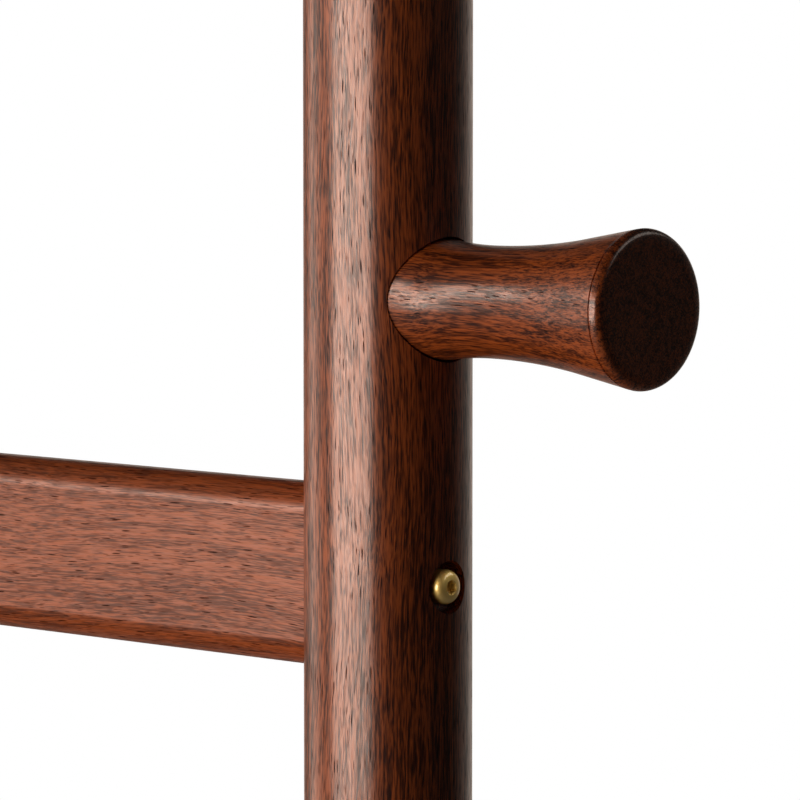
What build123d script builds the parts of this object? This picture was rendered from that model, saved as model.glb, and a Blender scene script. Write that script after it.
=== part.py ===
from build123d import *
import math
import os

os.makedirs("parts", exist_ok=True)

# Folding luggage rack: a tall back frame, a slatted deck hinged to it, and a leg frame under the deck's
# front. The legs swing up into the deck, and the deck then hangs down flat between the posts. Millimetres.
# +X is the rack's right, -Y its front, +Z up. The origin is on the floor, in the middle of the footprint.

# ---------------------------------------------------------------- driving dimensions

# Back frame
post_diameter = 40.0
post_spacing = 580.0            # between the two post axes
post_top_chamfer = 2.5
foot_chamfer = 1.5
top_rail_height = 920.0         # floor to the middle of the rail
post_above_rail = 170.0         # middle of the top rail to the post's top
lower_rail_height = 630.0

# Flat rail stock, used for every rail
rail_width = 44.0
rail_thickness = 16.0
rail_edge_radius = 6.0
cope_gap = 0.1                  # glue line between a rail's hollowed end and the round pole

# Turned peg, let into a socket in the post
peg_above_rail = 67.5           # peg axis over the middle of the top rail
peg_root_radius = 14.4
peg_neck_radius = 13.15
peg_neck_distance = 12.0        # post's surface to the narrowest place
peg_flare_radius = 15.5
peg_flare_distance = 42.0       # post's surface to where the flare turns straight
peg_rim_radius = 18.4
peg_face_radius = 15.6
peg_face_rise = 1.5             # from the rim to the flat end, along the peg
peg_reach = 61.6                # post's surface to the peg's flat end
peg_socket_depth = 10.0
peg_socket_gap = 0.15
hanger_radius = 4.0
hanger_in_post = 18.0           # below the socket's floor
hanger_in_peg = 35.0            # past the socket's floor

# Cap bolt with a domed head, sunk in a counterbore, and its barrel nut
bolt_radius = 2.5
bolt_hole_gap = 0.25
head_radius = 4.15
head_side = 5.0
head_dome = 1.3
head_socket = 3.0               # across flats
head_socket_depth = 2.2
counterbore_radius = 6.15
counterbore_depth = 6.0
nut_radius = 5.0
nut_length = 12.5
nut_hole_depth = 13.5
nut_setback = 30.0              # rail's end to the nut's middle
bolt_past_nut = 7.0

# Joint dowels beside each rail bolt
dowel_radius = 4.0
dowel_offset = 13.0
dowel_in_pole = 12.0
dowel_in_bar = 8.0
dowel_in_rail = 16.0
dowel_end_gap = 1.0
glue_gap = 0.05
past = 1.0                      # how far a cutter runs beyond the surface it opens

# Deck
pivot_height = 460.0            # floor to both pivot axes
deck_reach = 380.0              # deck's pivot axis to the legs' pivot axis
bar_width = 44.0
bar_thickness = 16.0
bar_edge_chamfer = 2.5
slat_count = 7
slat_width = 44.0
slat_thickness = 12.0
slat_edge_radius = 4.0
slat_end_chamfer = 1.0
slat_post_gap = 4.0             # post to the rearmost slat
slat_dowel_radius = 4.0
slat_dowel_up = 8.0
slat_dowel_down = 12.0

# Pivots: shoulder bolts that turn in a bore and end in a threaded insert
shoulder_radius = 4.0
running_gap = 0.05
thread_radius = 3.0
pivot_head_radius = 6.0
pivot_head_side = 4.6
pivot_head_dome = 1.2
pivot_socket = 4.0              # across flats
pivot_counterbore_radius = 8.25
pivot_counterbore_depth = 6.0
insert_radius = 5.0
insert_in_bar = 12.0
insert_in_leg = 14.0
spacer_radius = 9.0
spotface_gap = 0.5
spotface_depth = 2.5
side_gap = 2.0                  # between side bar and pole
face_gap = 0.1                  # between flat faces that turn on each other

# Leg frame
leg_diameter = 40.0
leg_splay = 5.0                 # degrees, foot forward of the pivot
leg_rail_drop = 320.0           # leg pivot to the middle of the leg rail, along the leg
stop_gap = 0.3

# Stop pins over the side bars
stop_pin_radius = 4.0
stop_pin_forward = 13.0
stop_pin_in_post = 14.0

# Glides under all four feet
glide_radius = 14.0
glide_thickness = 4.0
glide_nail_radius = 2.0
glide_nail_length = 12.0

# ---------------------------------------------------------------- places worked out from them

post_radius = post_diameter / 2
leg_radius = leg_diameter / 2
post_x = post_spacing / 2
bar_outer_x = post_x - post_radius - side_gap
bar_x = bar_outer_x - bar_thickness / 2
bar_inner_x = bar_outer_x - bar_thickness
leg_x = bar_inner_x - side_gap - leg_radius

# The splayed legs lean on the lower rear edge of the front rail, which stops them there.
splay = math.radians(leg_splay)
edge_drop = rail_width / 2 - rail_edge_radius
edge_ahead = (leg_radius + rail_edge_radius + stop_gap + edge_drop * math.sin(splay)) / math.cos(splay)
front_rail_ahead = edge_ahead - rail_edge_radius + rail_thickness / 2

# The footprint runs from the front of the feet to the round ends of the side bars, just behind the posts.
foot_ahead = deck_reach + (pivot_height - glide_thickness) * math.tan(splay) + leg_radius / math.cos(splay)
rear_behind = max(post_radius, bar_width / 2)
post_y = (foot_ahead - rear_behind) / 2
leg_pivot_y = post_y - deck_reach
front_rail_y = leg_pivot_y - front_rail_ahead
bar_top = pivot_height + bar_width / 2


# ---------------------------------------------------------------- shared shapes

def x_rod(radius, x_from, x_to, y=0.0, z=0.0):
    """Round rod along X."""
    place = Plane(origin=(x_from, y, z), z_dir=(1, 0, 0))
    return place * Cylinder(radius, x_to - x_from, align=(Align.CENTER, Align.CENTER, Align.MIN))


def y_rod(radius, y_from, y_to, x=0.0, z=0.0):
    """Round rod along Y."""
    place = Plane(origin=(x, y_from, z), z_dir=(0, 1, 0))
    return place * Cylinder(radius, y_to - y_from, align=(Align.CENTER, Align.CENTER, Align.MIN))


def z_rod(radius, z_from, z_to, x=0.0, y=0.0):
    """Round rod along Z."""
    base = Cylinder(radius, z_to - z_from, align=(Align.CENTER, Align.CENTER, Align.MIN))
    return Pos(x, y, z_from) * base


def mirrored(shape):
    """The same shape on the rack's left side."""
    return mirror(shape, about=Plane.YZ)


def both_sides(shape):
    return Compound(children=list(shape.solids()) + list(mirrored(shape).solids()))


def write(name, shape):
    export_step(shape, "parts/" + name + ".step")


def domed_bolt(seat_x, tip_x, shank, head, side, dome, socket, shoulder_x=None):
    """Bolt along X with its head on the +X side of the seat and its tip on the -X side.

    With a shoulder_x, the shank keeps its size from the seat to there and ends in a thinner thread.
    """
    cap_radius = (dome ** 2 + head ** 2) / (2 * dome)
    half_angle = math.asin(head / cap_radius) / 2
    crown_x = seat_x + side + dome
    mid = (crown_x - cap_radius * (1 - math.cos(half_angle)), cap_radius * math.sin(half_angle))
    if shoulder_x is None:
        shank_points = [(tip_x, 0), (tip_x, shank), (seat_x, shank)]
    else:
        shank_points = [(tip_x, 0), (tip_x, thread_radius), (shoulder_x, thread_radius)]
        shank_points += [(shoulder_x, shank), (seat_x, shank)]
    outline = Polyline(*shank_points, (seat_x, head), (seat_x + side, head))
    outline += ThreePointArc((seat_x + side, head), mid, (crown_x, 0))
    outline += Line((crown_x, 0), (tip_x, 0))
    bolt = revolve(make_face(outline), Axis.X)
    key = RegularPolygon(socket / 2, 6, major_radius=False)
    return bolt - extrude(Plane(origin=(crown_x, 0, 0), z_dir=(-1, 0, 0)) * key, head_socket_depth)


def flat_rail(half_length):
    """Rail along X with four rounded long edges, centred on the origin."""
    section = Plane.YZ * RectangleRounded(rail_thickness, rail_width, rail_edge_radius)
    return extrude(section, half_length, both=True)


def rail_hardware_holes(rail_end_x, dowel_depth):
    """Holes in a rail's right end for the bolt, the barrel nut (from behind) and the dowels."""
    nut_x = rail_end_x - nut_setback
    back = rail_thickness / 2
    holes = x_rod(bolt_radius + bolt_hole_gap, nut_x - bolt_past_nut - past, rail_end_x + post_radius)
    holes += y_rod(nut_radius + glue_gap, back - nut_hole_depth, back + past, x=nut_x)
    for side in (-1, 1):
        holes += x_rod(dowel_radius + glue_gap, rail_end_x - dowel_depth, rail_end_x + post_radius,
                       z=side * dowel_offset)
    return holes


def barrel_nut(rail_end_x):
    """Cross dowel with a tapped hole for the bolt, a little below the rail's rear face."""
    nut_x = rail_end_x - nut_setback
    floor_y = rail_thickness / 2 - nut_hole_depth
    body = y_rod(nut_radius, floor_y, floor_y + nut_length, x=nut_x)
    return body - x_rod(bolt_radius + glue_gap, nut_x - 2 * nut_radius, nut_x + 2 * nut_radius)


def joint_dowels(rail_end_x, depth_in_rail, depth_beyond):
    """Two dowels across a joint, over and under the bolt."""
    x_from = rail_end_x - depth_in_rail + dowel_end_gap
    x_to = rail_end_x + depth_beyond - dowel_end_gap
    lower = x_rod(dowel_radius, x_from, x_to, z=-dowel_offset)
    return lower + x_rod(dowel_radius, x_from, x_to, z=dowel_offset)


# ---------------------------------------------------------------- joints of a round pole
# A pole's own frame has its axis along Z and its outer side towards +X.

def pole_rail_joint(pole_radius, z):
    """What a bolted rail needs in its pole: counterbore, bolt hole and two dowel holes."""
    cut = x_rod(counterbore_radius, pole_radius - counterbore_depth, pole_radius + past, z=z)
    cut += x_rod(bolt_radius + bolt_hole_gap, -pole_radius - past, pole_radius, z=z)
    for side in (-1, 1):
        cut += x_rod(dowel_radius + glue_gap, -pole_radius - past, -pole_radius + dowel_in_pole,
                     z=z + side * dowel_offset)
    return cut


def pole_rail_bolt(pole_radius):
    seat_x = pole_radius - counterbore_depth
    tip_x = -pole_radius - nut_setback - bolt_past_nut
    return domed_bolt(seat_x, tip_x, bolt_radius, head_radius, head_side, head_dome, head_socket)


def pole_spotface(pole_radius, side, z):
    """Flat seat for a spacer, on the outer (+1) or inner (-1) side."""
    near = side * (pole_radius - spotface_depth)
    far = side * (pole_radius + past)
    return x_rod(spacer_radius + spotface_gap, min(near, far), max(near, far), z=z)


def coped_rail(pole_axis_x, pole_radius):
    """Rail between two poles, with its ends hollowed to fit them and its joint holes cut."""
    end_x = pole_axis_x - pole_radius
    rail = flat_rail(pole_axis_x)
    for side in (-1, 1):
        rail -= z_rod(pole_radius + cope_gap, -rail_width, rail_width, x=side * pole_axis_x)
    holes = rail_hardware_holes(end_x, dowel_in_rail)
    return rail - holes - mirrored(holes)


def spacer(x_from):
    """Flat ring on a pivot bolt, seated in a pole's spotface and standing out by the side gap."""
    thickness = spotface_depth + side_gap - face_gap
    ring = x_rod(spacer_radius, x_from, x_from + thickness)
    return ring - x_rod(shoulder_radius + running_gap, x_from - past, x_from + thickness + past)


# ---------------------------------------------------------------- posts
# Turned poles. Each carries two rails, a peg, the deck's pivot, a stop pin and a glide.

post_top = top_rail_height + post_above_rail
nail_top = glide_thickness + glide_nail_length
peg_height = top_rail_height + peg_above_rail
rail_heights = (top_rail_height, lower_rail_height)
stop_pin_height = bar_top + stop_gap + stop_pin_radius
pin_inner_x = bar_inner_x - post_x
pin_outer_x = -post_radius + stop_pin_in_post + spotface_depth

post = z_rod(post_radius, glide_thickness, post_top)
post = chamfer(post.edges().group_by(Axis.Z)[-1], post_top_chamfer)
post = chamfer(post.edges().group_by(Axis.Z)[0], foot_chamfer)
for height in rail_heights:
    post -= pole_rail_joint(post_radius, height)
socket_floor_x = post_radius - peg_socket_depth
post -= x_rod(peg_root_radius + peg_socket_gap, socket_floor_x, post_radius + past, z=peg_height)
post -= x_rod(hanger_radius + glue_gap, socket_floor_x - hanger_in_post, post_radius, z=peg_height)
post -= x_rod(pivot_counterbore_radius, post_radius - pivot_counterbore_depth, post_radius + past,
              z=pivot_height)
post -= x_rod(shoulder_radius + running_gap, -post_radius - past, post_radius, z=pivot_height)
post -= pole_spotface(post_radius, -1, pivot_height)
post -= x_rod(stop_pin_radius + glue_gap, -post_radius - past, pin_outer_x, y=-stop_pin_forward,
              z=stop_pin_height)
post -= z_rod(glide_nail_radius + glue_gap, 0, nail_top + past)
right_post = Pos(post_x, post_y, 0) * post
write("right_post", right_post)
write("left_post", mirrored(right_post))

# ---------------------------------------------------------------- pegs
# Turned in one piece: a straight root in the socket, a slim neck, and a flare that ends in a broken rim.

peg_end_x = post_radius + peg_reach
neck_x = post_radius + peg_neck_distance
flare_x = post_radius + peg_flare_distance
root_x = socket_floor_x + glue_gap
peg_outline = Polyline((neck_x, 0), (root_x, 0), (root_x, peg_root_radius), (post_radius, peg_root_radius))
peg_outline += TangentArc((neck_x, peg_neck_radius), (post_radius, peg_root_radius), tangent=(-1, 0))
peg_outline += TangentArc((neck_x, peg_neck_radius), (flare_x, peg_flare_radius), tangent=(1, 0))
peg_outline += Polyline((flare_x, peg_flare_radius), (peg_end_x - peg_face_rise, peg_rim_radius),
                        (peg_end_x, peg_face_radius), (peg_end_x, 0), (neck_x, 0))
peg = revolve(make_face(peg_outline), Axis.X)
peg -= x_rod(hanger_radius + glue_gap, root_x - past, socket_floor_x + hanger_in_peg + past)
right_peg = Pos(post_x, post_y, peg_height) * peg
write("right_peg", right_peg)
write("left_peg", mirrored(right_peg))

# Steel hanger bolts: wood thread in the post, machine thread in the peg.
hanger = x_rod(hanger_radius, socket_floor_x - hanger_in_post + past, socket_floor_x + hanger_in_peg)
write("peg_hanger_bolts", both_sides(Pos(post_x, post_y, peg_height) * hanger))

# ---------------------------------------------------------------- rails of the back frame

back_rail = coped_rail(post_x, post_radius)
write("top_rail", Pos(0, post_y, top_rail_height) * back_rail)
write("lower_rail", Pos(0, post_y, lower_rail_height) * back_rail)

rail_end_x = post_x - post_radius
bolts = []
nuts = []
dowels = []
for height in rail_heights:
    place = Pos(0, post_y, height)
    bolts += both_sides(place * Pos(post_x, 0, 0) * pole_rail_bolt(post_radius)).solids()
    nuts += both_sides(place * barrel_nut(rail_end_x)).solids()
    dowels += both_sides(place * joint_dowels(rail_end_x, dowel_in_rail, dowel_in_pole)).solids()
write("rail_bolts", Compound(children=bolts))
write("rail_barrel_nuts", Compound(children=nuts))
write("rail_dowels", Compound(children=dowels))

# ---------------------------------------------------------------- stop pins
# Brass pins driven into the posts. Each lies just over a side bar, ahead of the pivot, and keeps it down.

stop_pin = x_rod(stop_pin_radius, pin_inner_x, pin_outer_x - dowel_end_gap, y=-stop_pin_forward,
                 z=stop_pin_height)
write("stop_pins", both_sides(Pos(post_x, post_y, 0) * stop_pin))

# ---------------------------------------------------------------- deck side bars
# Flat bars with round ends: the rear end turns on the post, the nose holds the front rail.

bar_reach = deck_reach + front_rail_ahead
outline = Plane.YZ * SlotCenterToCenter(bar_reach, bar_width)
side_bar = extrude(outline, bar_thickness / 2, both=True)
rims = side_bar.faces().sort_by(Axis.X)[0].edges() + side_bar.faces().sort_by(Axis.X)[-1].edges()
side_bar = chamfer(rims, bar_edge_chamfer)
side_bar = Pos(bar_x, post_y - bar_reach / 2, pivot_height) * side_bar

front_place = Pos(0, front_rail_y, pivot_height)
leg_place = Pos(0, leg_pivot_y, pivot_height)
rear_place = Pos(0, post_y, pivot_height)

inside = bar_inner_x - past
outside = bar_outer_x + past
bar_cuts = rear_place * x_rod(insert_radius + glue_gap, bar_outer_x - insert_in_bar, outside)
bar_cuts += leg_place * x_rod(shoulder_radius + running_gap, inside, outside)
bar_cuts += leg_place * x_rod(pivot_counterbore_radius, bar_outer_x - pivot_counterbore_depth, outside)
bar_cuts += front_place * x_rod(bolt_radius + bolt_hole_gap, inside, outside)
bar_cuts += front_place * x_rod(counterbore_radius, bar_outer_x - counterbore_depth, outside)
for side in (-1, 1):
    bar_cuts += front_place * x_rod(dowel_radius + glue_gap, inside, bar_inner_x + dowel_in_bar,
                                    z=side * dowel_offset)

# Slats are evenly spaced from just ahead of the posts to the front rail's face.
slat_rear_y = post_y - post_radius - slat_post_gap - slat_width / 2
slat_front_y = front_rail_y - rail_thickness / 2 + slat_width / 2
slat_pitch = (slat_front_y - slat_rear_y) / (slat_count - 1)
slat_places = [slat_rear_y + index * slat_pitch for index in range(slat_count)]
slat_hole_radius = slat_dowel_radius + glue_gap
for slat_y in slat_places:
    bar_cuts += z_rod(slat_hole_radius, bar_top - slat_dowel_down, bar_top + past, x=bar_x, y=slat_y)

right_side_bar = side_bar - bar_cuts
write("right_side_bar", right_side_bar)
write("left_side_bar", mirrored(right_side_bar))

# ---------------------------------------------------------------- slats
# Planed slats with rounded edges, glued on dowels over the side bars.

slat_section = Plane.YZ * RectangleRounded(slat_width, slat_thickness, slat_edge_radius)
slat = extrude(slat_section, bar_outer_x, both=True)
slat_ends = slat.faces().sort_by(Axis.X)[0].edges() + slat.faces().sort_by(Axis.X)[-1].edges()
slat = chamfer(slat_ends, slat_end_chamfer)
slat_hole = z_rod(slat_hole_radius, -slat_thickness, -slat_thickness / 2 + slat_dowel_up, x=bar_x)
slat = slat - slat_hole - mirrored(slat_hole)
slat_middle = bar_top + slat_thickness / 2
slat_dowels = []
for index, slat_y in enumerate(slat_places):
    write("slat_" + str(index + 1), Pos(0, slat_y, slat_middle) * slat)
    slat_dowels += both_sides(z_rod(slat_dowel_radius, bar_top - slat_dowel_down + dowel_end_gap,
                                    bar_top + slat_dowel_up - dowel_end_gap, x=bar_x, y=slat_y)).solids()
write("slat_dowels", Compound(children=slat_dowels))

# ---------------------------------------------------------------- front rail of the deck

front_rail = flat_rail(bar_inner_x)
holes = rail_hardware_holes(bar_inner_x, dowel_in_rail)
front_rail = front_rail - holes - mirrored(holes)
write("front_rail", front_place * front_rail)
write("front_rail_barrel_nuts", both_sides(front_place * barrel_nut(bar_inner_x)))
write("front_rail_dowels", both_sides(front_place * joint_dowels(bar_inner_x, dowel_in_rail, dowel_in_bar)))
bar_bolt = domed_bolt(bar_outer_x - counterbore_depth, bar_inner_x - nut_setback - bolt_past_nut,
                      bolt_radius, head_radius, head_side, head_dome, head_socket)
write("front_rail_bolts", both_sides(front_place * bar_bolt))

# ---------------------------------------------------------------- deck pivots
# Shoulder bolts turn in the posts with the deck, and screw into inserts in the side bars.

insert_inner_x = bar_outer_x - insert_in_bar
deck_bolt_seat_x = post_x + post_radius - pivot_counterbore_depth + face_gap
deck_bolt = domed_bolt(deck_bolt_seat_x, insert_inner_x + dowel_end_gap, shoulder_radius, pivot_head_radius,
                       pivot_head_side, pivot_head_dome, pivot_socket, shoulder_x=bar_outer_x + face_gap)
write("deck_pivot_bolts", both_sides(rear_place * deck_bolt))
bar_insert = x_rod(insert_radius, insert_inner_x + glue_gap, bar_outer_x)
bar_insert -= x_rod(thread_radius + glue_gap, insert_inner_x - past, bar_outer_x + past)
write("deck_pivot_inserts", both_sides(rear_place * bar_insert))
write("deck_pivot_spacers", both_sides(rear_place * spacer(bar_outer_x + face_gap)))

# ---------------------------------------------------------------- legs
# Each leg is drawn upright from its pivot at the origin and then leaned forward. Its top is rounded about
# the pivot, so that it turns clear of the slats.

leg_length = (pivot_height - glide_thickness) / math.cos(splay)
lean = Pos(0, leg_pivot_y, pivot_height) * Rot(-leg_splay, 0, 0)
leg = z_rod(leg_radius, -leg_length - leg_radius, 0)
leg += z_rod(leg_radius, 0, leg_radius + past) & x_rod(leg_radius, -leg_radius, leg_radius)
leg -= pole_rail_joint(leg_radius, -leg_rail_drop)
leg -= pole_spotface(leg_radius, 1, 0)
insert_floor_x = leg_radius - spotface_depth - insert_in_leg
leg -= x_rod(insert_radius + glue_gap, insert_floor_x, leg_radius)
right_leg = lean * Pos(leg_x, 0, 0) * leg
below_foot = Box(post_spacing, 4 * deck_reach, deck_reach, align=(Align.CENTER, Align.CENTER, Align.MAX))
right_leg -= Pos(0, 0, glide_thickness) * below_foot
foot_y = leg_pivot_y - (pivot_height - glide_thickness) * math.tan(splay)
right_leg -= z_rod(glide_nail_radius + glue_gap, 0, nail_top + past, x=leg_x, y=foot_y)
write("right_leg", right_leg)
write("left_leg", mirrored(right_leg))

# ---------------------------------------------------------------- leg rail and its joints

rail_drop = Pos(0, 0, -leg_rail_drop)
leg_rail_end_x = leg_x - leg_radius
write("leg_rail", lean * rail_drop * coped_rail(leg_x, leg_radius))
leg_bolt = Pos(leg_x, 0, 0) * pole_rail_bolt(leg_radius)
leg_dowels = joint_dowels(leg_rail_end_x, dowel_in_rail, dowel_in_pole)
write("leg_rail_bolts", both_sides(lean * rail_drop * leg_bolt))
write("leg_rail_barrel_nuts", both_sides(lean * rail_drop * barrel_nut(leg_rail_end_x)))
write("leg_rail_dowels", both_sides(lean * rail_drop * leg_dowels))

# ---------------------------------------------------------------- leg pivots
# Shoulder bolts turn in the side bars with the leg frame, and screw into inserts in the legs.

seat_x = leg_x + leg_radius - spotface_depth
leg_insert_tip_x = leg_x + insert_floor_x
leg_bolt_seat_x = bar_outer_x - pivot_counterbore_depth + face_gap
leg_pivot_bolt = domed_bolt(leg_bolt_seat_x, leg_insert_tip_x + dowel_end_gap, shoulder_radius,
                            pivot_head_radius, pivot_head_side, pivot_head_dome, pivot_socket,
                            shoulder_x=seat_x + face_gap)
write("leg_pivot_bolts", both_sides(lean * leg_pivot_bolt))
leg_insert = x_rod(insert_radius, leg_insert_tip_x + glue_gap, seat_x)
leg_insert -= x_rod(thread_radius + glue_gap, leg_insert_tip_x - past, seat_x + past)
write("leg_pivot_inserts", both_sides(lean * leg_insert))
write("leg_pivot_spacers", both_sides(lean * spacer(seat_x)))

# ---------------------------------------------------------------- glides
# Round plastic pads, each held by a nail up into the end grain.

glide = z_rod(glide_radius, 0, glide_thickness)
glide = chamfer(glide.edges().group_by(Axis.Z)[0], glide_thickness / 4)
glide += z_rod(glide_nail_radius, glide_thickness, nail_top)
write("post_glides", both_sides(Pos(post_x, post_y, 0) * glide))
write("leg_glides", both_sides(Pos(leg_x, foot_y, 0) * glide))
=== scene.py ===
import math
import bpy
from mathutils import Matrix, Vector


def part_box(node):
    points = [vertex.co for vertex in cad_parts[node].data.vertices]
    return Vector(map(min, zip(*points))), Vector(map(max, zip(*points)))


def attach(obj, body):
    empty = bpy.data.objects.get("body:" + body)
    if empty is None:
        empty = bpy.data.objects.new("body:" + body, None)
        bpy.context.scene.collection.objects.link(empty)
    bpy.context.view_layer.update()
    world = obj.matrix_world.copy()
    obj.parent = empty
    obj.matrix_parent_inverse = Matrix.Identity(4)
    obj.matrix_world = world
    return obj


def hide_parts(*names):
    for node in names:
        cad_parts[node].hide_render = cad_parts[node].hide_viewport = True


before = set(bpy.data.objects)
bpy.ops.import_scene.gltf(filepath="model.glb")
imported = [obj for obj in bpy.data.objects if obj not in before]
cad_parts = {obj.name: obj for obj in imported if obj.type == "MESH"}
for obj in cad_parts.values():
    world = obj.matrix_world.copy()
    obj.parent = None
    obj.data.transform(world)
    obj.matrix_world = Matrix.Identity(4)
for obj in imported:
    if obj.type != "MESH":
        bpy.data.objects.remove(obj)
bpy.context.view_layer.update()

# ---------------------------------------------------------------- studio
# A pale floor that runs out into a white surround, with a wide softbox, a strip lamp and a key lamp to the front left
# of the rack, a card high at its right and a weaker lamp behind it. The camera looks at the right post's joint with
# the top rail from the front right.

post_low, post_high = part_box("right_post")
rail_low, rail_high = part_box("top_rail")
post_radius = (post_high.x - post_low.x) / 2
post_axis = Vector(((post_low.x + post_high.x) / 2, (post_low.y + post_high.y) / 2, 0))
rail_height = (rail_low.z + rail_high.z) / 2
joint = post_axis + Vector((0, 0, rail_height))


def horizontal(azimuth):
    """Unit vector away from the rack. Azimuth 0 is straight ahead of it, and 90 is to its right."""
    angle = math.radians(azimuth)
    return Vector((math.sin(angle), -math.cos(angle), 0))


def camera_at_joint():
    """Long lens, close to the joint. The joint lies a little below and to the left of the picture's middle."""
    azimuth = 43.5
    elevation = 4.39
    distance = 1.151
    aside = 0.00282
    above = 0.04286
    tilt = math.radians(elevation)
    back = horizontal(azimuth) * math.cos(tilt) + Vector((0, 0, math.sin(tilt)))
    right = horizontal(azimuth + 90)
    up = back.cross(right)
    data = bpy.data.cameras.new("studio camera")
    data.lens = 218.4
    data.sensor_width = 36.0
    camera = bpy.data.objects.new("studio camera", data)
    bpy.context.scene.collection.objects.link(camera)
    camera.location = joint + back * distance + right * aside + up * above
    camera.rotation_euler = (math.radians(90 - elevation), 0, math.radians(azimuth))
    bpy.context.scene.camera = camera


def softbox(name, azimuth, distance, height, width, tall, power, color=(1.0, 0.93, 0.84)):
    """Rectangular lamp that faces the joint's upright line from the given side."""
    data = bpy.data.lights.new(name, "AREA")
    data.shape = "RECTANGLE"
    data.size = width
    data.size_y = tall
    data.energy = power
    data.color = color
    lamp = bpy.data.objects.new(name, data)
    bpy.context.scene.collection.objects.link(lamp)
    lamp.location = joint + horizontal(azimuth) * distance
    lamp.location.z = height
    lamp.rotation_euler = (math.radians(90), 0, math.radians(azimuth))
    lamp.visible_camera = False
    return lamp


def connect(tree, pairs):
    for source, target in pairs:
        tree.links.new(source, target)


def add(tree, kind, name=None, **values):
    """Shader node. Values set a property of the node, or else the input socket of that name."""
    made = tree.nodes.new("ShaderNode" + kind)
    if name:
        made.label = name
    for key, value in values.items():
        if hasattr(made, key):
            setattr(made, key, value)
        else:
            made.inputs[key.replace("_", " ")].default_value = value
    return made


def studio_world():
    """White to the camera. To the object, warm walls at its left and behind it, and a dark room."""
    world = bpy.data.worlds.new("studio")
    bpy.context.scene.world = world
    world.use_nodes = True
    tree = world.node_tree
    tree.nodes.clear()
    out = add(tree, "OutputWorld")
    background = add(tree, "Background")
    place = add(tree, "TexCoord")
    parts = add(tree, "SeparateXYZ")
    ahead = add(tree, "Math", operation="MULTIPLY")
    ahead.inputs[1].default_value = -1.0
    azimuth = add(tree, "Math", operation="ARCTAN2")
    turn = add(tree, "MapRange", From_Min=-math.pi, From_Max=math.pi)
    walls = add(tree, "ValToRGB")
    ramp = walls.color_ramp
    ramp.elements.remove(ramp.elements[1])
    steps = [(-180, 0.19), (-150, 0.27), (-125, 0.27), (-115, 0.10), (-106, 0.03), (-98, 0.07), (-90, 0.78),
             (-74, 0.66), (-62, 0.36), (-54, 0.10), (-48, 0.09), (-44, 0.25), (-38, 0.21), (-28, 0.01), (140, 0.005),
             (152, 0.02), (168, 0.09)]
    for index, (degrees, grey) in enumerate(steps):
        position = (degrees + 180) / 360
        step = ramp.elements[0] if index == 0 else ramp.elements.new(position)
        step.color = (grey, grey * 0.85, grey * 0.73, 1)
    level = add(tree, "MapRange", interpolation_type="SMOOTHSTEP", From_Min=0.16, From_Max=0.42, To_Min=2.9,
                To_Max=0.12)
    dim = add(tree, "VectorMath", operation="SCALE")
    path = add(tree, "LightPath")
    seen = add(tree, "Mix", data_type="RGBA")
    seen.inputs[7].default_value = (1, 1, 1, 1)
    connect(tree, [
        (place.outputs["Generated"], parts.inputs[0]), (parts.outputs["Y"], ahead.inputs[0]),
        (parts.outputs["X"], azimuth.inputs[0]), (ahead.outputs[0], azimuth.inputs[1]),
        (azimuth.outputs[0], turn.inputs["Value"]), (turn.outputs[0], walls.inputs[0]),
        (parts.outputs["Z"], level.inputs["Value"]), (walls.outputs[0], dim.inputs[0]),
        (level.outputs[0], dim.inputs["Scale"]), (dim.outputs[0], seen.inputs[6]),
        (path.outputs["Is Camera Ray"], seen.inputs["Factor"]),
        (seen.outputs[2], background.inputs["Color"]), (background.outputs[0], out.inputs["Surface"])])


def studio_floor():
    """Pale floor that keeps the rack's shadow near its middle and fades into the white surround."""
    bpy.ops.object.select_all(action="DESELECT")
    bpy.ops.mesh.primitive_circle_add(vertices=96, radius=3.2, fill_type="NGON", location=(0, 0, -0.0002))
    floor = bpy.context.active_object
    floor.name = "studio_floor"
    material = bpy.data.materials.new("pale floor")
    material.use_nodes = True
    tree = material.node_tree
    tree.nodes.clear()
    out = add(tree, "OutputMaterial")
    paint = add(tree, "BsdfPrincipled", Roughness=0.8)
    shade = add(tree, "Mix", data_type="RGBA")
    shade.inputs[6].default_value = (0.22, 0.22, 0.22, 1)
    shade.inputs[7].default_value = (0.80, 0.80, 0.79, 1)
    white = add(tree, "Emission")
    place = add(tree, "TexCoord")
    reach = add(tree, "VectorMath", operation="LENGTH")
    fade = add(tree, "MapRange", interpolation_type="SMOOTHSTEP", From_Min=0.7, From_Max=2.4, To_Min=0.35)
    path = add(tree, "LightPath")
    mirrored = add(tree, "Math", operation="MULTIPLY")
    mirrored.inputs[1].default_value = 0.1
    bright = add(tree, "Math", operation="MAXIMUM")
    seen = add(tree, "Math", operation="MULTIPLY")
    mix = add(tree, "MixShader")
    connect(tree, [
        (path.outputs["Is Glossy Ray"], mirrored.inputs[0]), (mirrored.outputs[0], bright.inputs[0]),
        (path.outputs["Is Camera Ray"], bright.inputs[1]), (bright.outputs[0], shade.inputs["Factor"]),
        (shade.outputs[2], paint.inputs["Base Color"]),
        (place.outputs["Object"], reach.inputs[0]), (reach.outputs["Value"], fade.inputs["Value"]),
        (fade.outputs[0], seen.inputs[0]), (path.outputs["Is Camera Ray"], seen.inputs[1]),
        (seen.outputs[0], mix.inputs["Fac"]), (paint.outputs[0], mix.inputs[1]),
        (white.outputs[0], mix.inputs[2]), (mix.outputs[0], out.inputs["Surface"])])
    floor.data.materials.append(material)


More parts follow.
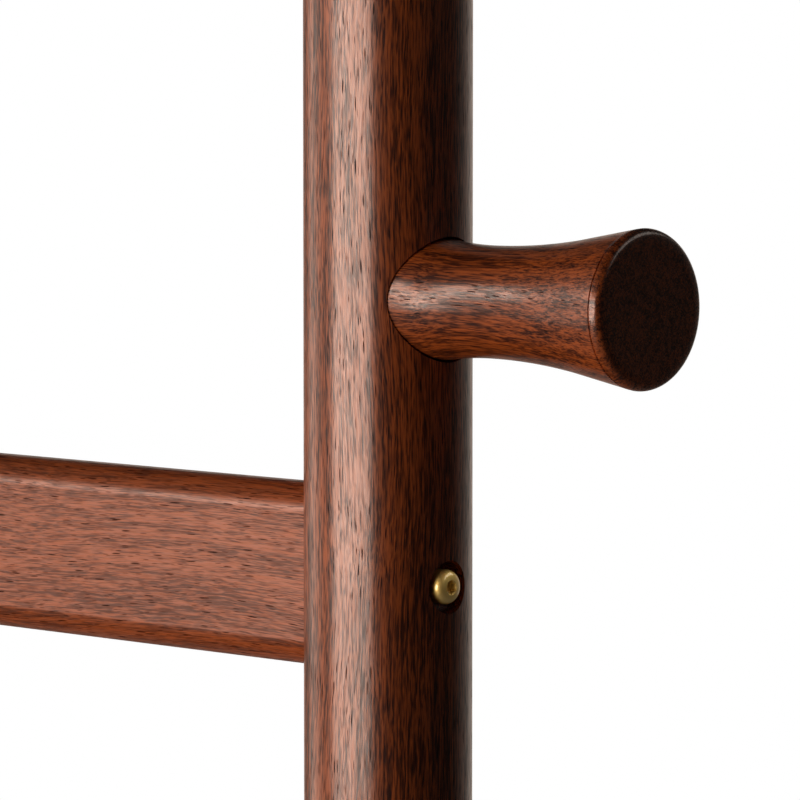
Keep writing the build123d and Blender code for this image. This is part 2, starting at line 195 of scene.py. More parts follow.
bpy.context.scene.view_settings.view_transform = "Standard"
camera_at_joint()
studio_world()
studio_floor()
warm = (1.0, 0.84, 0.72)
sheen = softbox("front softbox", -8.3, 2.4, 1.00, 2.58, 1.2, 76, warm)
sheen.visible_diffuse = False
strip = softbox("strip lamp", -46, 2.4, 1.66, 0.90, 0.80, 14, warm)
strip.visible_diffuse = False
card = softbox("high card", 132, 2.2, 2.7, 2.8, 1.4, 20)
card.visible_diffuse = False
key = softbox("key lamp", -18, 2.4, 0.85, 1.2, 1.2, 28)
key.visible_glossy = False
rear = softbox("rear lamp", 222, 2.6, 1.3, 1.8, 1.5, 40)
rear.visible_glossy = False

# ---------------------------------------------------------------- posts
# Two turned poles of a dark, open-pored hardwood, sanded and sprayed with a satin lacquer. The grain runs up
# the pole. Each is drilled for its rail bolts, peg, deck pivot and stop pin.

light_wood = (0.510, 0.102, 0.0160, 1)
dark_wood = (0.045, 0.0058, 0.0006, 1)


def grain_group():
    """Wood grain. Z of the position runs along the grain, in metres."""
    tree = bpy.data.node_groups.new("wood grain", "ShaderNodeTree")
    face = tree.interface
    face.new_socket("Position", in_out="INPUT", socket_type="NodeSocketVector")
    face.new_socket("Light", in_out="INPUT", socket_type="NodeSocketColor")
    face.new_socket("Dark", in_out="INPUT", socket_type="NodeSocketColor")
    face.new_socket("Figure", in_out="INPUT", socket_type="NodeSocketFloat")
    face.new_socket("Color", in_out="OUTPUT", socket_type="NodeSocketColor")
    face.new_socket("Roughness", in_out="OUTPUT", socket_type="NodeSocketFloat")
    face.new_socket("Lacquer", in_out="OUTPUT", socket_type="NodeSocketFloat")
    face.new_socket("Height", in_out="OUTPUT", socket_type="NodeSocketFloat")
    given = tree.nodes.new("NodeGroupInput")
    made = tree.nodes.new("NodeGroupOutput")

    def scaled(source, across, along):
        stretch = add(tree, "VectorMath", operation="MULTIPLY")
        stretch.inputs[1].default_value = (across, across, along)
        tree.links.new(source, stretch.inputs[0])
        return stretch.outputs[0]

    def noise(source, across, along, detail=2.0, rough=0.5):
        texture = add(tree, "TexNoise", Scale=1.0, Detail=detail, Roughness=rough)
        tree.links.new(scaled(source, across, along), texture.inputs["Vector"])
        return texture

    def ranged(source, low, high, to_low=0.0, to_high=1.0):
        span = add(tree, "MapRange", interpolation_type="SMOOTHSTEP", From_Min=low, From_Max=high,
                   To_Min=to_low, To_Max=to_high)
        tree.links.new(source, span.inputs["Value"])
        return span.outputs[0]

    def joined(operation, first, second):
        step = add(tree, "Math", operation=operation)
        for index, value in enumerate((first, second)):
            if isinstance(value, float):
                step.inputs[index].default_value = value
            else:
                tree.links.new(value, step.inputs[index])
        return step.outputs[0]

    # The fibres wander sideways by a few millimetres along the piece, and by less over short lengths.
    def swayed(source, across, along, reach):
        sway = noise(source, across, along, 2.0)
        centred = add(tree, "VectorMath", operation="SUBTRACT")
        centred.inputs[1].default_value = (0.5, 0.5, 0.5)
        shift = add(tree, "VectorMath", operation="MULTIPLY")
        shift.inputs[1].default_value = (reach, reach, 0.0)
        wavy = add(tree, "VectorMath", operation="ADD")
        connect(tree, [(sway.outputs["Color"], centred.inputs[0]), (centred.outputs[0], shift.inputs[0]),
                       (source, wavy.inputs[0]), (shift.outputs[0], wavy.inputs[1])])
        return wavy.outputs[0]

    lie = swayed(swayed(given.outputs["Position"], 10.0, 6.0, 0.012), 200.0, 50.0, 0.0009)

    cloud = ranged(noise(lie, 70.0, 8.0).outputs["Fac"], 0.36, 0.64)
    bands = ranged(noise(lie, 520.0, 16.0).outputs["Fac"], 0.36, 0.64)
    streak = ranged(noise(lie, 2100.0, 105.0, 2.0, 0.6).outputs["Fac"], 0.36, 0.64)
    fibre = ranged(noise(lie, 4600.0, 240.0, 1.0).outputs["Fac"], 0.34, 0.66)

    def pores(across, along, share, size):
        cells = add(tree, "TexVoronoi", Scale=1.0)
        tree.links.new(scaled(lie, across, along), cells.inputs["Vector"])
        hole = ranged(cells.outputs["Distance"], size * 0.7, size * 1.2, 1.0, 0.0)
        parts = add(tree, "SeparateColor")
        tree.links.new(cells.outputs["Color"], parts.inputs[0])
        return joined("MULTIPLY", hole, ranged(parts.outputs[0], 1.0 - share, 1.05 - share))

    clusters = ranged(noise(lie, 150.0, 18.0).outputs["Fac"], 0.30, 0.50, 0.3, 1.0)
    large = joined("MULTIPLY", pores(1150.0, 92.0, 0.80, 0.17), clusters)
    small = joined("MULTIPLY", pores(2300.0, 170.0, 0.60, 0.21), 0.75)
    pore = joined("MAXIMUM", large, small)

    broad = joined("ADD", joined("MULTIPLY", cloud, 0.12), joined("MULTIPLY", bands, 0.22))
    fine = joined("ADD", joined("MULTIPLY", streak, 0.42), joined("MULTIPLY", fibre, 0.28))
    tone = ranged(joined("ADD", broad, fine), 0.14, 0.90)
    figure = joined("MULTIPLY", tone, given.outputs["Figure"])
    stain = add(tree, "Mix", data_type="RGBA")
    connect(tree, [(figure, stain.inputs["Factor"]), (given.outputs["Light"], stain.inputs[6]),
                   (given.outputs["Dark"], stain.inputs[7])])
    filled = add(tree, "Mix", data_type="RGBA", blend_type="MULTIPLY")
    filled.inputs[7].default_value = (0.12, 0.08, 0.07, 1)
    connect(tree, [(pore, filled.inputs["Factor"]), (stain.outputs[2], filled.inputs[6]),
                   (filled.outputs[2], made.inputs["Color"])])

    dull = joined("ADD", joined("MULTIPLY", fibre, 0.10), joined("MULTIPLY", pore, 0.4))
    tree.links.new(joined("ADD", dull, 0.42), made.inputs["Roughness"])
    relief = ranged(noise(lie, 3200.0, 160.0, 1.0).outputs["Fac"], 0.32, 0.68)
    open_grain = joined("ADD", joined("MULTIPLY", relief, 0.34), joined("MULTIPLY", tone, 0.34))
    missing = joined("ADD", open_grain, joined("MULTIPLY", pore, 0.9))
    coat = add(tree, "Math", operation="SUBTRACT", use_clamp=True)
    coat.inputs[0].default_value = 1.0
    connect(tree, [(missing, coat.inputs[1]), (coat.outputs[0], made.inputs["Lacquer"])])
    lines = joined("ADD", joined("ADD", fibre, streak), joined("MULTIPLY", pore, 3.0))
    tree.links.new(joined("MULTIPLY", lines, -0.08), made.inputs["Height"])
    return tree


wood_grain = grain_group()
along_x = (0, math.radians(90), 0)
along_y = (math.radians(90), 0, 0)
along_z = (0, 0, 0)


def lacquered_wood(name, turn, shift, satin=0.24, light=light_wood, dark=dark_wood, figure=1.0):
    """Satin-lacquered hardwood. Turn brings the grain's direction to Z, and shift picks a place in the log."""
    material = bpy.data.materials.new(name)
    material.use_nodes = True
    tree = material.node_tree
    shader = tree.nodes["Principled BSDF"]
    shader.inputs["Specular IOR Level"].default_value = 0.12
    shader.inputs["Coat Roughness"].default_value = satin
    shader.inputs["Coat IOR"].default_value = 1.65
    place = add(tree, "TexCoord")
    turned_place = add(tree, "Mapping", Rotation=turn, Location=shift)
    grain = tree.nodes.new("ShaderNodeGroup")
    grain.node_tree = wood_grain
    grain.inputs["Light"].default_value = light
    grain.inputs["Dark"].default_value = dark
    grain.inputs["Figure"].default_value = figure
    bump = add(tree, "Bump", Strength=0.6, Distance=0.00012)
    connect(tree, [
        (place.outputs["Object"], turned_place.inputs["Vector"]),
        (turned_place.outputs[0], grain.inputs["Position"]), (grain.outputs["Color"], shader.inputs["Base Color"]),
        (grain.outputs["Roughness"], shader.inputs["Roughness"]),
        (grain.outputs["Lacquer"], shader.inputs["Coat Weight"]), (grain.outputs["Height"], bump.inputs["Height"]),
        (bump.outputs[0], shader.inputs["Normal"])])
    return material


def only(piece):
    """Select this piece alone, as the active one."""
    bpy.ops.object.select_all(action="DESELECT")
    piece.select_set(True)
    bpy.context.view_layer.objects.active = piece


def turned(name, base, axis, rings, sides=144):
    """Piece turned about a line through base, along +X, +Y or +Z. Rings lists distances and radii."""
    bpy.ops.object.select_all(action="DESELECT")
    distance, radius = rings[0]
    bpy.ops.mesh.primitive_circle_add(vertices=sides, radius=radius, fill_type="NGON", location=(0, 0, distance),
                                      rotation=(0, 0, math.pi / sides))
    piece = bpy.context.active_object
    piece.name = name
    bpy.ops.object.transform_apply(location=True, rotation=True, scale=True)
    bpy.ops.object.mode_set(mode="EDIT")
    bpy.ops.mesh.select_all(action="SELECT")
    for next_distance, next_radius in rings[1:]:
        step = next_distance - distance
        share = next_radius / radius
        bpy.ops.mesh.extrude_region_move(TRANSFORM_OT_translate={"value": (0, 0, step)})
        bpy.ops.transform.resize(value=(share, share, 1), center_override=(0, 0, next_distance))
        distance = next_distance
        radius = next_radius
    bpy.ops.mesh.select_all(action="SELECT")
    bpy.ops.mesh.normals_make_consistent(inside=False)
    bpy.ops.object.mode_set(mode="OBJECT")
    piece.rotation_euler = {"X": (0, math.radians(90), 0), "Y": (math.radians(-90), 0, 0), "Z": (0, 0, 0)}[axis]
    piece.location = base
    bpy.ops.object.transform_apply(location=True, rotation=True, scale=True)
    return piece


def cut(piece, cutter, operation="DIFFERENCE"):
    """Take the cutter's shape away from the piece, or keep only what they share."""
    only(piece)
    modifier = piece.modifiers.new("cut", "BOOLEAN")
    modifier.operation = operation
    modifier.object = cutter
    modifier.solver = "EXACT"
    bpy.ops.object.modifier_apply(modifier=modifier.name)
    bpy.data.objects.remove(cutter)


def copied(piece, name, mirrored=False, move=(0, 0, 0), lean=0.0):
    """Copy with its own mesh, mirrored left to right, leaned about the X axis and moved, in that order."""
    twin = piece.copy()
    twin.data = piece.data.copy()
    twin.name = name
    bpy.context.scene.collection.objects.link(twin)
    only(twin)
    twin.location = move
    twin.rotation_euler = (lean, 0, 0)
    if mirrored:
        twin.scale.x = -1
    bpy.ops.object.transform_apply(location=True, rotation=True, scale=True)
    bpy.ops.object.mode_set(mode="EDIT")
    bpy.ops.mesh.select_all(action="SELECT")
    bpy.ops.mesh.normals_make_consistent(inside=False)
    bpy.ops.object.mode_set(mode="OBJECT")
    return twin


def finished(piece, body, material, node):
    """Smooth the curved faces, keep the flat ones flat, and let the piece stand for its CAD node."""
    only(piece)
    bpy.ops.object.shade_smooth_by_angle(angle=math.radians(28))
    modifier = piece.modifiers.new("even normals", "WEIGHTED_NORMAL")
    modifier.keep_sharp = True
    bpy.ops.object.modifier_apply(modifier=modifier.name)
    piece.data.materials.clear()
    piece.data.materials.append(material)
    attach(piece, body)
    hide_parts(node)
    return piece


def middle(node):
    low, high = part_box(node)
    return (low + high) / 2


def quarter_round(distance, radius, rounding, steps=6):
    """Rings that end a turned piece with a rounded edge, from its side to its flat end."""
    rings = []
    for step in range(steps + 1):
        angle = math.radians(90) * step / steps
        rings.append((distance - rounding + rounding * math.sin(angle),
                      radius - rounding + rounding * math.cos(angle)))
    return rings


counterbore_radius = 0.00615
counterbore_depth = 0.006
pivot_counterbore_radius = 0.00825
peg_socket_radius = 0.0147
peg_socket_depth = 0.010
spotface_radius = 0.0095
spotface_depth = 0.0025
past = 0.002
mouth_ease = 0.00015


def recess(radius, depth, face, place):
    """Cutter for a recess drilled from the right into a face at that distance from place, eased at its mouth."""
    rings = [(face - depth, radius), (face - 2 * mouth_ease, radius), (face, radius + mouth_ease),
             (face + past, radius + 2 * mouth_ease)]
    return turned("recess", place, "X", rings, 96)


peg_height = middle("right_peg").z
pivot_height = middle("deck_pivot_bolts").z
stop_low, stop_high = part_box("stop_pins")
rail_heights = [middle("top_rail").z, middle("lower_rail").z]

bore_heights = sorted(rail_heights + [peg_height, pivot_height])
pole_rings = [(post_low.z, post_radius - 0.0015), (post_low.z + 0.0015, post_radius)]
for height in bore_heights:
    pole_rings += [(height - 0.022, post_radius), (height + 0.022, post_radius)]
pole_rings += quarter_round(post_high.z, post_radius, 0.004, 8)
right_post = turned("right_post_pole", post_axis, "Z", pole_rings, 200)
for height in rail_heights:
    cut(right_post, recess(counterbore_radius, counterbore_depth, post_radius, post_axis + Vector((0, 0, height))))
pivot_place = post_axis + Vector((0, 0, pivot_height))
cut(right_post, recess(pivot_counterbore_radius, counterbore_depth, post_radius, pivot_place))
socket_rings = [(post_radius - peg_socket_depth, peg_socket_radius), (post_radius + past, peg_socket_radius)]
cut(right_post, turned("socket", post_axis + Vector((0, 0, peg_height)), "X", socket_rings))
spot_rings = [(-post_radius - past, spotface_radius), (-post_radius + spotface_depth, spotface_radius)]
cut(right_post, turned("spotface", pivot_place, "X", spot_rings, 96))
pin_radius = (stop_high.z - stop_low.z) / 2
pin_place = Vector((post_axis.x, (stop_low.y + stop_high.y) / 2, (stop_low.z + stop_high.z) / 2))
pin_rings = [(-post_radius - past, pin_radius + 0.00005), (0, pin_radius + 0.00005)]
cut(right_post, turned("pin_hole", pin_place, "X", pin_rings, 64))
left_post = copied(right_post, "left_post_pole", mirrored=True)
right_post_wood = lacquered_wood("right post wood", along_z, (0.31, 0.17, 0.4))
left_post_wood = lacquered_wood("left post wood", along_z, (1.12, 0.63, 0.2))
finished(right_post, "back_frame", right_post_wood, "right_post")
finished(left_post, "back_frame", left_post_wood, "left_post")

# ---------------------------------------------------------------- pegs
# Turned coat pegs of the same wood, let into sockets in the posts and drawn up by hanger bolts. A slim neck
# flares to a flat end, which a fine quirk and a rounded bead set off from the flank.

peg_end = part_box("right_peg")[1].x - post_axis.x
root_radius = 0.0144
mouth_place = post_radius
mouth_radius = 0.01408
neck_radius = 0.0131
neck_place = post_radius + 0.014
flare_radius = 0.01535
flare_place = post_radius + 0.042
rim_radius = 0.0184
eased_radius = 0.01425
# The bead's arcs, each by its radius and by the slopes, in degrees, at which it starts and ends.
bead_arcs = [(0.0026, 3, 36), (0.0018, 36, 80), (0.0109, 80, 90)]
quirk = 0.00035


def arc_radius(place, reach, rise):
    """Radius of a shape that swells by rise, at reach from the neck, along an arc that starts level."""
    curve = (reach ** 2 + rise ** 2) / (2 * rise)
    return neck_radius + curve - math.sqrt(curve ** 2 - place ** 2)


socket_floor = post_radius - peg_socket_depth
mouth_reach = neck_place - mouth_place
flare_reach = flare_place - neck_place
peg_rings = [(socket_floor + 0.0001, root_radius - 0.0008), (socket_floor + 0.0009, root_radius),
             (post_radius - 0.0066, root_radius), (post_radius - 0.003, eased_radius)]
for step in range(0, 7):
    place = mouth_reach * (1 - step / 6)
    peg_rings.append((neck_place - place, arc_radius(place, mouth_reach, mouth_radius - neck_radius)))
for step in range(1, 13):
    place = flare_reach * step / 12
    peg_rings.append((neck_place + place, arc_radius(place, flare_reach, flare_radius - neck_radius)))
place = peg_end - sum(radius * (math.sin(math.radians(end)) - math.sin(math.radians(start)))
                      for radius, start, end in bead_arcs)
rise = rim_radius
peg_rings += [(place - 2 * quirk, rim_radius - 0.0001), (place - 1.5 * quirk, rim_radius - quirk),
              (place - 0.5 * quirk, rim_radius - quirk), (place, rim_radius)]
for radius, start, end in bead_arcs:
    for step in range(1, 7):
        tilt = [math.radians(start + (end - start) * (step - back) / 6) for back in (1, 0)]
        place += radius * (math.sin(tilt[1]) - math.sin(tilt[0]))
        rise -= radius * (math.cos(tilt[0]) - math.cos(tilt[1]))
        peg_rings.append((place, rise))
right_peg = turned("right_peg_turned", post_axis + Vector((0, 0, peg_height)), "X", peg_rings, 160)
left_peg = copied(right_peg, "left_peg_turned", mirrored=True)
right_peg_wood = lacquered_wood("right peg wood", along_x, (0.9, 0.2, 0.7))
left_peg_wood = lacquered_wood("left peg wood", along_x, (1.9, 0.2, 0.7))
finished(right_peg, "back_frame", right_peg_wood, "right_peg")
finished(left_peg, "back_frame", left_peg_wood, "left_peg")

# ---------------------------------------------------------------- rails of the back frame
# Flat rails with routed round edges. Their ends are coped to the posts, and each end has a blind hole at the
# back for the barrel nut of its bolt.

rail_thickness = rail_high.y - rail_low.y
rail_width = rail_high.z - rail_low.z
rail_edge = 0.0067
edge_profile = 0.43
board_satin = 0.34
cope_gap = 0.0001
nut_hole_radius = 0.00505
nut_setback = 0.030


def beveled_bar(name, low, high, chosen, offset, segments, profile=0.5):
    """Bar between two corners, with the edges that chosen picks by their two ends rounded."""
    bpy.ops.object.select_all(action="DESELECT")
    bpy.ops.mesh.primitive_cube_add(size=1, location=(low + high) / 2, scale=high - low)
    piece = bpy.context.active_object
    piece.name = name
    bpy.ops.object.transform_apply(location=True, rotation=True, scale=True)
    rounded_edges(piece, chosen, offset, segments, profile)
    return piece


def rounded_edges(piece, chosen, offset, segments, profile=0.5):
    only(piece)
    bpy.ops.object.mode_set(mode="EDIT")
    bpy.ops.mesh.select_mode(type="EDGE")
    bpy.ops.mesh.select_all(action="DESELECT")
    bpy.ops.object.mode_set(mode="OBJECT")
    for edge in piece.data.edges:
        first, second = (piece.data.vertices[index].co for index in edge.vertices)
        edge.select = chosen(first, second)
    bpy.ops.object.mode_set(mode="EDIT")
    bpy.ops.mesh.bevel(offset=offset, segments=segments, affect="EDGES", profile=profile)
    bpy.ops.object.mode_set(mode="OBJECT")


def lies_along_x(first, second):
    return abs(first.x - second.x) > 0.01


def nut_hole(piece, rail_end, centre):
    """Blind hole in the rear face, near the rail's end."""
    rings = [(-0.0055, nut_hole_radius), (0.008 + past, nut_hole_radius)]
    for side in (-1, 1):
        cut(piece, turned("nut_hole", Vector((side * (rail_end - nut_setback), centre.y, centre.z)), "Y", rings, 64))


def coped_rail(name, centre, pole_x, pole_radius):
    """Rail between two poles, with its ends hollowed to fit them."""
    half = Vector((pole_x, rail_thickness / 2, rail_width / 2))
    rail = beveled_bar(name, centre - half, centre + half, lies_along_x, rail_edge, 12, edge_profile)
    rings = [(-rail_width, pole_radius + cope_gap), (rail_width, pole_radius + cope_gap)]
    for side in (-1, 1):
        cut(rail, turned("cope", centre + Vector((side * pole_x, 0, 0)), "Z", rings, 200))
    nut_hole(rail, pole_x - pole_radius, centre)
    return rail


top_rail = coped_rail("top_rail_board", middle("top_rail"), post_axis.x, post_radius)
top_rail_wood = lacquered_wood("top rail wood", along_x, (2.1, 0.43, 0.3), board_satin, figure=0.8)
finished(top_rail, "back_frame", top_rail_wood, "top_rail")
lower_rail = coped_rail("lower_rail_board", middle("lower_rail"), post_axis.x, post_radius)
lower_rail_wood = lacquered_wood("lower rail wood", along_x, (3.1, 0.43, 0.3), board_satin, figure=0.8)
finished(lower_rail, "back_frame", lower_rail_wood, "lower_rail")

# ---------------------------------------------------------------- bolts
# Brass cap bolts with a domed head and a hexagon socket, turned, polished and varnished. Each sits in a
# counterbore and runs into a barrel nut in the rail.

bolt_head_radius = 0.00415
bolt_head_height = 0.0068
bolt_rounding = 0.0020
bolt_socket = 0.0030
bolt_shank_radius = 0.0025
bolt_tip_radius = 0.0021
bolt_tip_ease = 0.0005


def metal_group():
    """Fine drawn scratches and cloudy tarnish for a polished metal."""
    tree = bpy.data.node_groups.new("handled metal", "ShaderNodeTree")
    face = tree.interface
    face.new_socket("Position", in_out="INPUT", socket_type="NodeSocketVector")
    face.new_socket("Clean", in_out="INPUT", socket_type="NodeSocketColor")
    face.new_socket("Tarnish", in_out="INPUT", socket_type="NodeSocketColor")
    polish = face.new_socket("Polish", in_out="INPUT", socket_type="NodeSocketFloat")
    polish.default_value = 0.2
    face.new_socket("Color", in_out="OUTPUT", socket_type="NodeSocketColor")
    face.new_socket("Roughness", in_out="OUTPUT", socket_type="NodeSocketFloat")
    face.new_socket("Height", in_out="OUTPUT", socket_type="NodeSocketFloat")
    given = tree.nodes.new("NodeGroupInput")
    made = tree.nodes.new("NodeGroupOutput")
    cloud = add(tree, "TexNoise", Scale=420.0, Detail=3.0)
    grit = add(tree, "TexNoise", Scale=5200.0, Detail=2.0)
    amount = add(tree, "MapRange", From_Min=0.42, From_Max=0.72, To_Max=0.55)
    stain = add(tree, "Mix", data_type="RGBA")
    spread = add(tree, "MapRange", From_Min=0.3, From_Max=0.7, To_Min=-0.03, To_Max=0.07)
    total = add(tree, "Math", operation="ADD")
    connect(tree, [
        (given.outputs["Position"], cloud.inputs["Vector"]), (given.outputs["Position"], grit.inputs["Vector"]),
        (cloud.outputs["Fac"], amount.inputs["Value"]), (amount.outputs[0], stain.inputs["Factor"]),
        (given.outputs["Clean"], stain.inputs[6]), (given.outputs["Tarnish"], stain.inputs[7]),
        (stain.outputs[2], made.inputs["Color"]), (grit.outputs["Fac"], spread.inputs["Value"]),
        (spread.outputs[0], total.inputs[0]), (given.outputs["Polish"], total.inputs[1]),
        (total.outputs[0], made.inputs["Roughness"]), (grit.outputs["Fac"], made.inputs["Height"])])
    return tree


handled_metal = metal_group()


def metal(name, clean, tarnish, polish, varnish=0.0):
    """Scratched and tarnished metal. Polish is its roughness, and varnish the weight of a clear coat."""
    material = bpy.data.materials.new(name)
    material.use_nodes = True
    tree = material.node_tree
    shader = tree.nodes["Principled BSDF"]
    shader.inputs["Metallic"].default_value = 1.0
    shader.inputs["Coat Weight"].default_value = varnish
    shader.inputs["Coat Roughness"].default_value = 0.12
    shader.inputs["Coat IOR"].default_value = 1.9
    place = add(tree, "TexCoord")
    wear = tree.nodes.new("ShaderNodeGroup")
    wear.node_tree = handled_metal
    wear.inputs["Clean"].default_value = clean
    wear.inputs["Tarnish"].default_value = tarnish
    wear.inputs["Polish"].default_value = polish
    bump = add(tree, "Bump", Strength=0.15, Distance=0.00002)
    connect(tree, [
        (place.outputs["Object"], wear.inputs["Position"]), (wear.outputs["Color"], shader.inputs["Base Color"]),
        (wear.outputs["Roughness"], shader.inputs["Roughness"]), (wear.outputs["Height"], bump.inputs["Height"]),
        (bump.outputs[0], shader.inputs["Normal"])])
    return material


brass = metal("polished brass", (0.95, 0.71, 0.24, 1), (0.80, 0.57, 0.17, 1), 0.52, 1.0)


def domed_bolt(name, shanks, head_radius, head_height, rounding, socket):
    """Bolt along X with its seat at the origin. Shanks lists (place, radius) from the tip to the seat."""
    crown_slope = math.radians(15)
    crown_start = head_radius - rounding + rounding * math.sin(crown_slope)
    crown_curve = crown_start / math.sin(crown_slope)
    side = head_height - rounding * math.cos(crown_slope) - crown_curve * (1 - math.cos(crown_slope))
    rings = list(shanks)
    rings += [(0.0, shanks[-1][1]), (0.0, head_radius - 0.0002), (0.0002, head_radius), (side, head_radius)]
    for step in range(1, 10):
        slope = math.radians(90) - (math.radians(90) - crown_slope) * step / 9
        rings.append((side + rounding * math.cos(slope), head_radius - rounding + rounding * math.sin(slope)))
    for step in range(1, 6):
        slope = crown_slope * (1 - step / 6)
        rings.append((head_height - crown_curve * (1 - math.cos(slope)), crown_curve * math.sin(slope)))
    bolt = turned(name, (0, 0, 0), "X", rings, 96)
    corner = socket / math.sqrt(3)
    hexagon = [(head_height - 0.7 * socket, corner), (head_height + past, corner)]
    cut(bolt, turned("hexagon", (0, 0, 0), "X", hexagon, 6))
    edge = [(head_height - 0.16 * socket, 0.5 * socket), (head_height + 0.2 * socket, 0.86 * socket)]
    cut(bolt, turned("countersink", (0, 0, 0), "X", edge, 48))
    return bolt


def rail_bolt(name, reach):
    """Cap bolt of a rail, whose tip lies at that reach behind its seat."""
    shanks = [(-reach, bolt_tip_radius), (bolt_tip_ease - reach, bolt_shank_radius)]
    return domed_bolt(name, shanks, bolt_head_radius, bolt_head_height, bolt_rounding, bolt_socket)


def pair(model, name, place, body, material, node):
    """Copy a piece from the origin to its place on the right, and mirrored to the left."""
    for side, word in ((1, "right"), (-1, "left")):
        move = Vector((side * place.x, place.y, place.z))
        finished(copied(model, name + "_" + word, side < 0, move), body, material, node)


nut_past = 0.007
bolt_tip = 2 * post_radius - counterbore_depth + nut_setback + nut_past
pole_bolt = rail_bolt("pole_bolt", bolt_tip)
for name, height in zip(("top_rail_bolt", "lower_rail_bolt"), rail_heights):
    seat = post_axis + Vector((post_radius - counterbore_depth, 0, height))
    pair(pole_bolt, name, seat, "back_frame", brass, "rail_bolts")

# ---------------------------------------------------------------- barrel nuts
# Zinc-plated cross dowels with a screwdriver slot, pushed into each rail from behind and drawn up by its bolts.

nut_radius = 0.005
nut_front = -0.0055
nut_back = 0.0070
zinc = metal("zinc plate", (0.62, 0.63, 0.64, 1), (0.46, 0.47, 0.47, 1), 0.33)


def rounded_rod(start, end, radius, rounding, steps=5):
    """Rings of a rod with both ends rounded."""
    finish = quarter_round(end, radius, rounding, steps)
    return [(start + end - distance, ring) for distance, ring in reversed(finish)] + finish


barrel_nut = turned("barrel_nut", (0, 0, 0), "Y", rounded_rod(nut_front, nut_back, nut_radius, 0.0005, 3), 64)
bpy.ops.object.select_all(action="DESELECT")
bpy.ops.mesh.primitive_cube_add(size=1, location=(0, nut_back, 0), scale=(0.02, 0.0022, 0.0012))
driver_slot = bpy.context.active_object
bpy.ops.object.transform_apply(location=True, rotation=True, scale=True)
cut(barrel_nut, driver_slot)
nut_bore = bolt_shank_radius + 0.00005
cut(barrel_nut, turned("bore", (0, 0, 0), "X", [(-0.006, nut_bore), (0.006, nut_bore)], 48))
for name, height in zip(("top_rail_nut", "lower_rail_nut"), rail_heights):
    nut_place = post_axis + Vector((-post_radius - nut_setback, 0, height))
    pair(barrel_nut, name, nut_place, "back_frame", zinc, "rail_barrel_nuts")

# ---------------------------------------------------------------- stop pins
# Brass pins with rounded ends, driven into the posts just over the side bars, which they hold level.

bar_low, bar_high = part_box("right_side_bar")
stop_pin = turned("stop_pin", (0, 0, 0), "X", rounded_rod(bar_low.x, stop_high.x, pin_radius, 0.001), 64)
pin_height = Vector((0, pin_place.y, pin_place.z))
pair(stop_pin, "stop_pin", pin_height, "back_frame", brass, "stop_pins")

# ---------------------------------------------------------------- deck side bars
# Flat bars of the same wood with round ends and routed edges. The rear end turns on the post, and the nose takes
# the front rail's bolt and the leg's pivot bolt in counterbores.

deck_pivot = Vector((0, post_axis.y, pivot_height))
leg_pivot = Vector((0, middle("leg_pivot_bolts").y, pivot_height))
front_centre = middle("front_rail")
bar_half = (bar_high.z - bar_low.z) / 2
bar_edge = 0.0028


def stadium(name, place, thickness, radius, stretch, sides=96):
    """Flat piece with round ends. One end is centred on place, the other lies stretch away, and X is across it."""
    reach = radius / math.cos(math.pi / sides)
    piece = turned(name, place, "X", [(0, reach), (thickness, reach)], sides)
    bpy.ops.object.mode_set(mode="EDIT")
    bpy.ops.mesh.select_mode(type="VERT")
    bpy.ops.mesh.select_all(action="DESELECT")
    bpy.ops.object.mode_set(mode="OBJECT")
    for vertex in piece.data.vertices:
        vertex.select = (vertex.co - place).dot(stretch) > 0
    bpy.ops.object.mode_set(mode="EDIT")
    bpy.ops.transform.translate(value=stretch)
    bpy.ops.object.mode_set(mode="OBJECT")
    return piece


def lies_across_x(first, second):
    return abs(first.x - second.x) < 0.0001


right_bar = stadium("right_side_bar_board", Vector((bar_low.x, deck_pivot.y, pivot_height)), bar_high.x - bar_low.x,
                    bar_half, front_centre - deck_pivot)
rounded_edges(right_bar, lies_across_x, bar_edge, 6)
cut(right_bar, recess(counterbore_radius, counterbore_depth, bar_high.x, front_centre))
cut(right_bar, recess(pivot_counterbore_radius, counterbore_depth, bar_high.x, leg_pivot))
left_bar = copied(right_bar, "left_side_bar_board", mirrored=True)
right_bar_wood = lacquered_wood("right side bar wood", along_y, (0.8, 0.61, 0.3), board_satin)
left_bar_wood = lacquered_wood("left side bar wood", along_y, (1.8, 0.64, 0.9), board_satin)
finished(right_bar, "deck", right_bar_wood, "right_side_bar")
finished(left_bar, "deck", left_bar_wood, "left_side_bar")

# ---------------------------------------------------------------- slats
# Planed slats with rounded edges and ends, glued on dowels across the side bars.

slat_low, slat_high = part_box("slat_1")
slat_half = (slat_high - slat_low) / 2
slat = beveled_bar("slat_model", -slat_half, slat_half, lies_along_x, 0.004, 8)
rounded_edges(slat, lies_across_x, 0.0010, 3)
for number in range(1, 8):
    node = "slat_" + str(number)
    board = copied(slat, node + "_board", move=middle(node))
    shift = (0.41 * number, 0.30 + 0.07 * number, 0.23 * number)
    slat_wood = lacquered_wood(node + " wood", along_x, shift, board_satin)
    finished(board, "deck", slat_wood, node)
bpy.data.objects.remove(slat)

# ---------------------------------------------------------------- front rail of the deck
# The same rail stock cut square between the side bars. Its lower rear edge is the stop for the legs.

